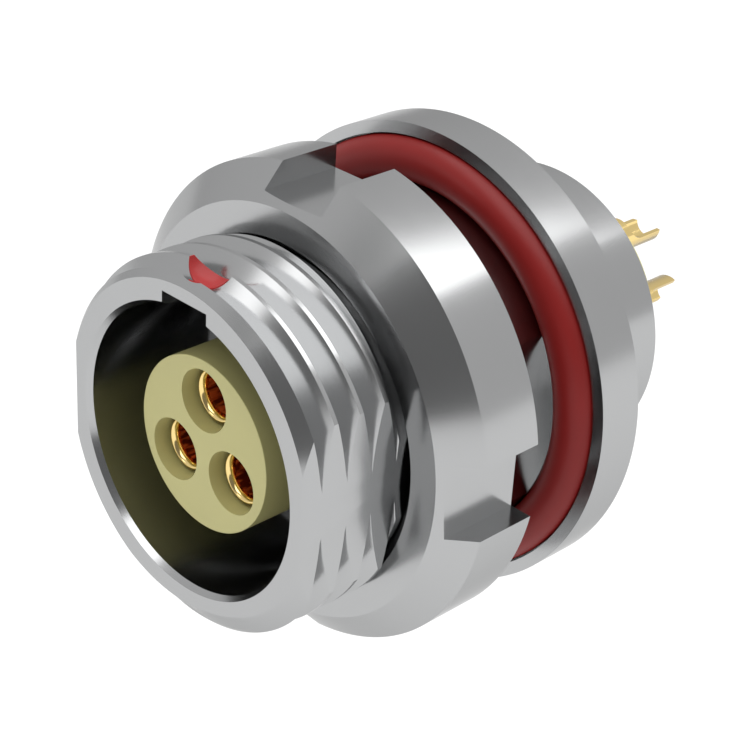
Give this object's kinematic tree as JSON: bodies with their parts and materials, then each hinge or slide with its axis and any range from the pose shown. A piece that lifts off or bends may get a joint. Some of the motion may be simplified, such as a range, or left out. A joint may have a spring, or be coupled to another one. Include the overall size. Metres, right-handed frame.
{
  "type": "push pull circular connector",
  "caption": "Panel-mounted push-pull circular connector receptacle: threaded barrel with two flats, ring nut, panel seal, keyed mouth, socket contacts and solder cups.",
  "frame": {"origin": "centre of the flange's front face, which bears on the panel", "axes": "+Y along the connector's axis, from the mouth to the solder cups; +Z through the keyway"},
  "size_m": [0.016, 0.0228, 0.016],
  "materials": {
    "nickel_plate": "polished",
    "gold_plate": "polished",
    "seal_rubber": "satin",
    "cream_plastic": "satin",
    "red_enamel": "gloss"
  },
  "bodies": {
    "shell": {"shell": "nickel_plate", "index_mark": "red_enamel", "panel_seal": "seal_rubber", "front_insulator": "cream_plastic", "rear_insulator": "cream_plastic", "retaining_ring": "nickel_plate", "contact_1": "gold_plate", "contact_2": "gold_plate", "contact_3": "gold_plate"},
    "nut": {"ring_nut": "nickel_plate"}
  },
  "joints": [
    {"name": "nut_turn", "type": "hinge", "parent": "shell", "child": "nut", "pos_m": [0, -0.00462, 0], "axis": [0, 1, 0], "continuous": true}
  ]
}
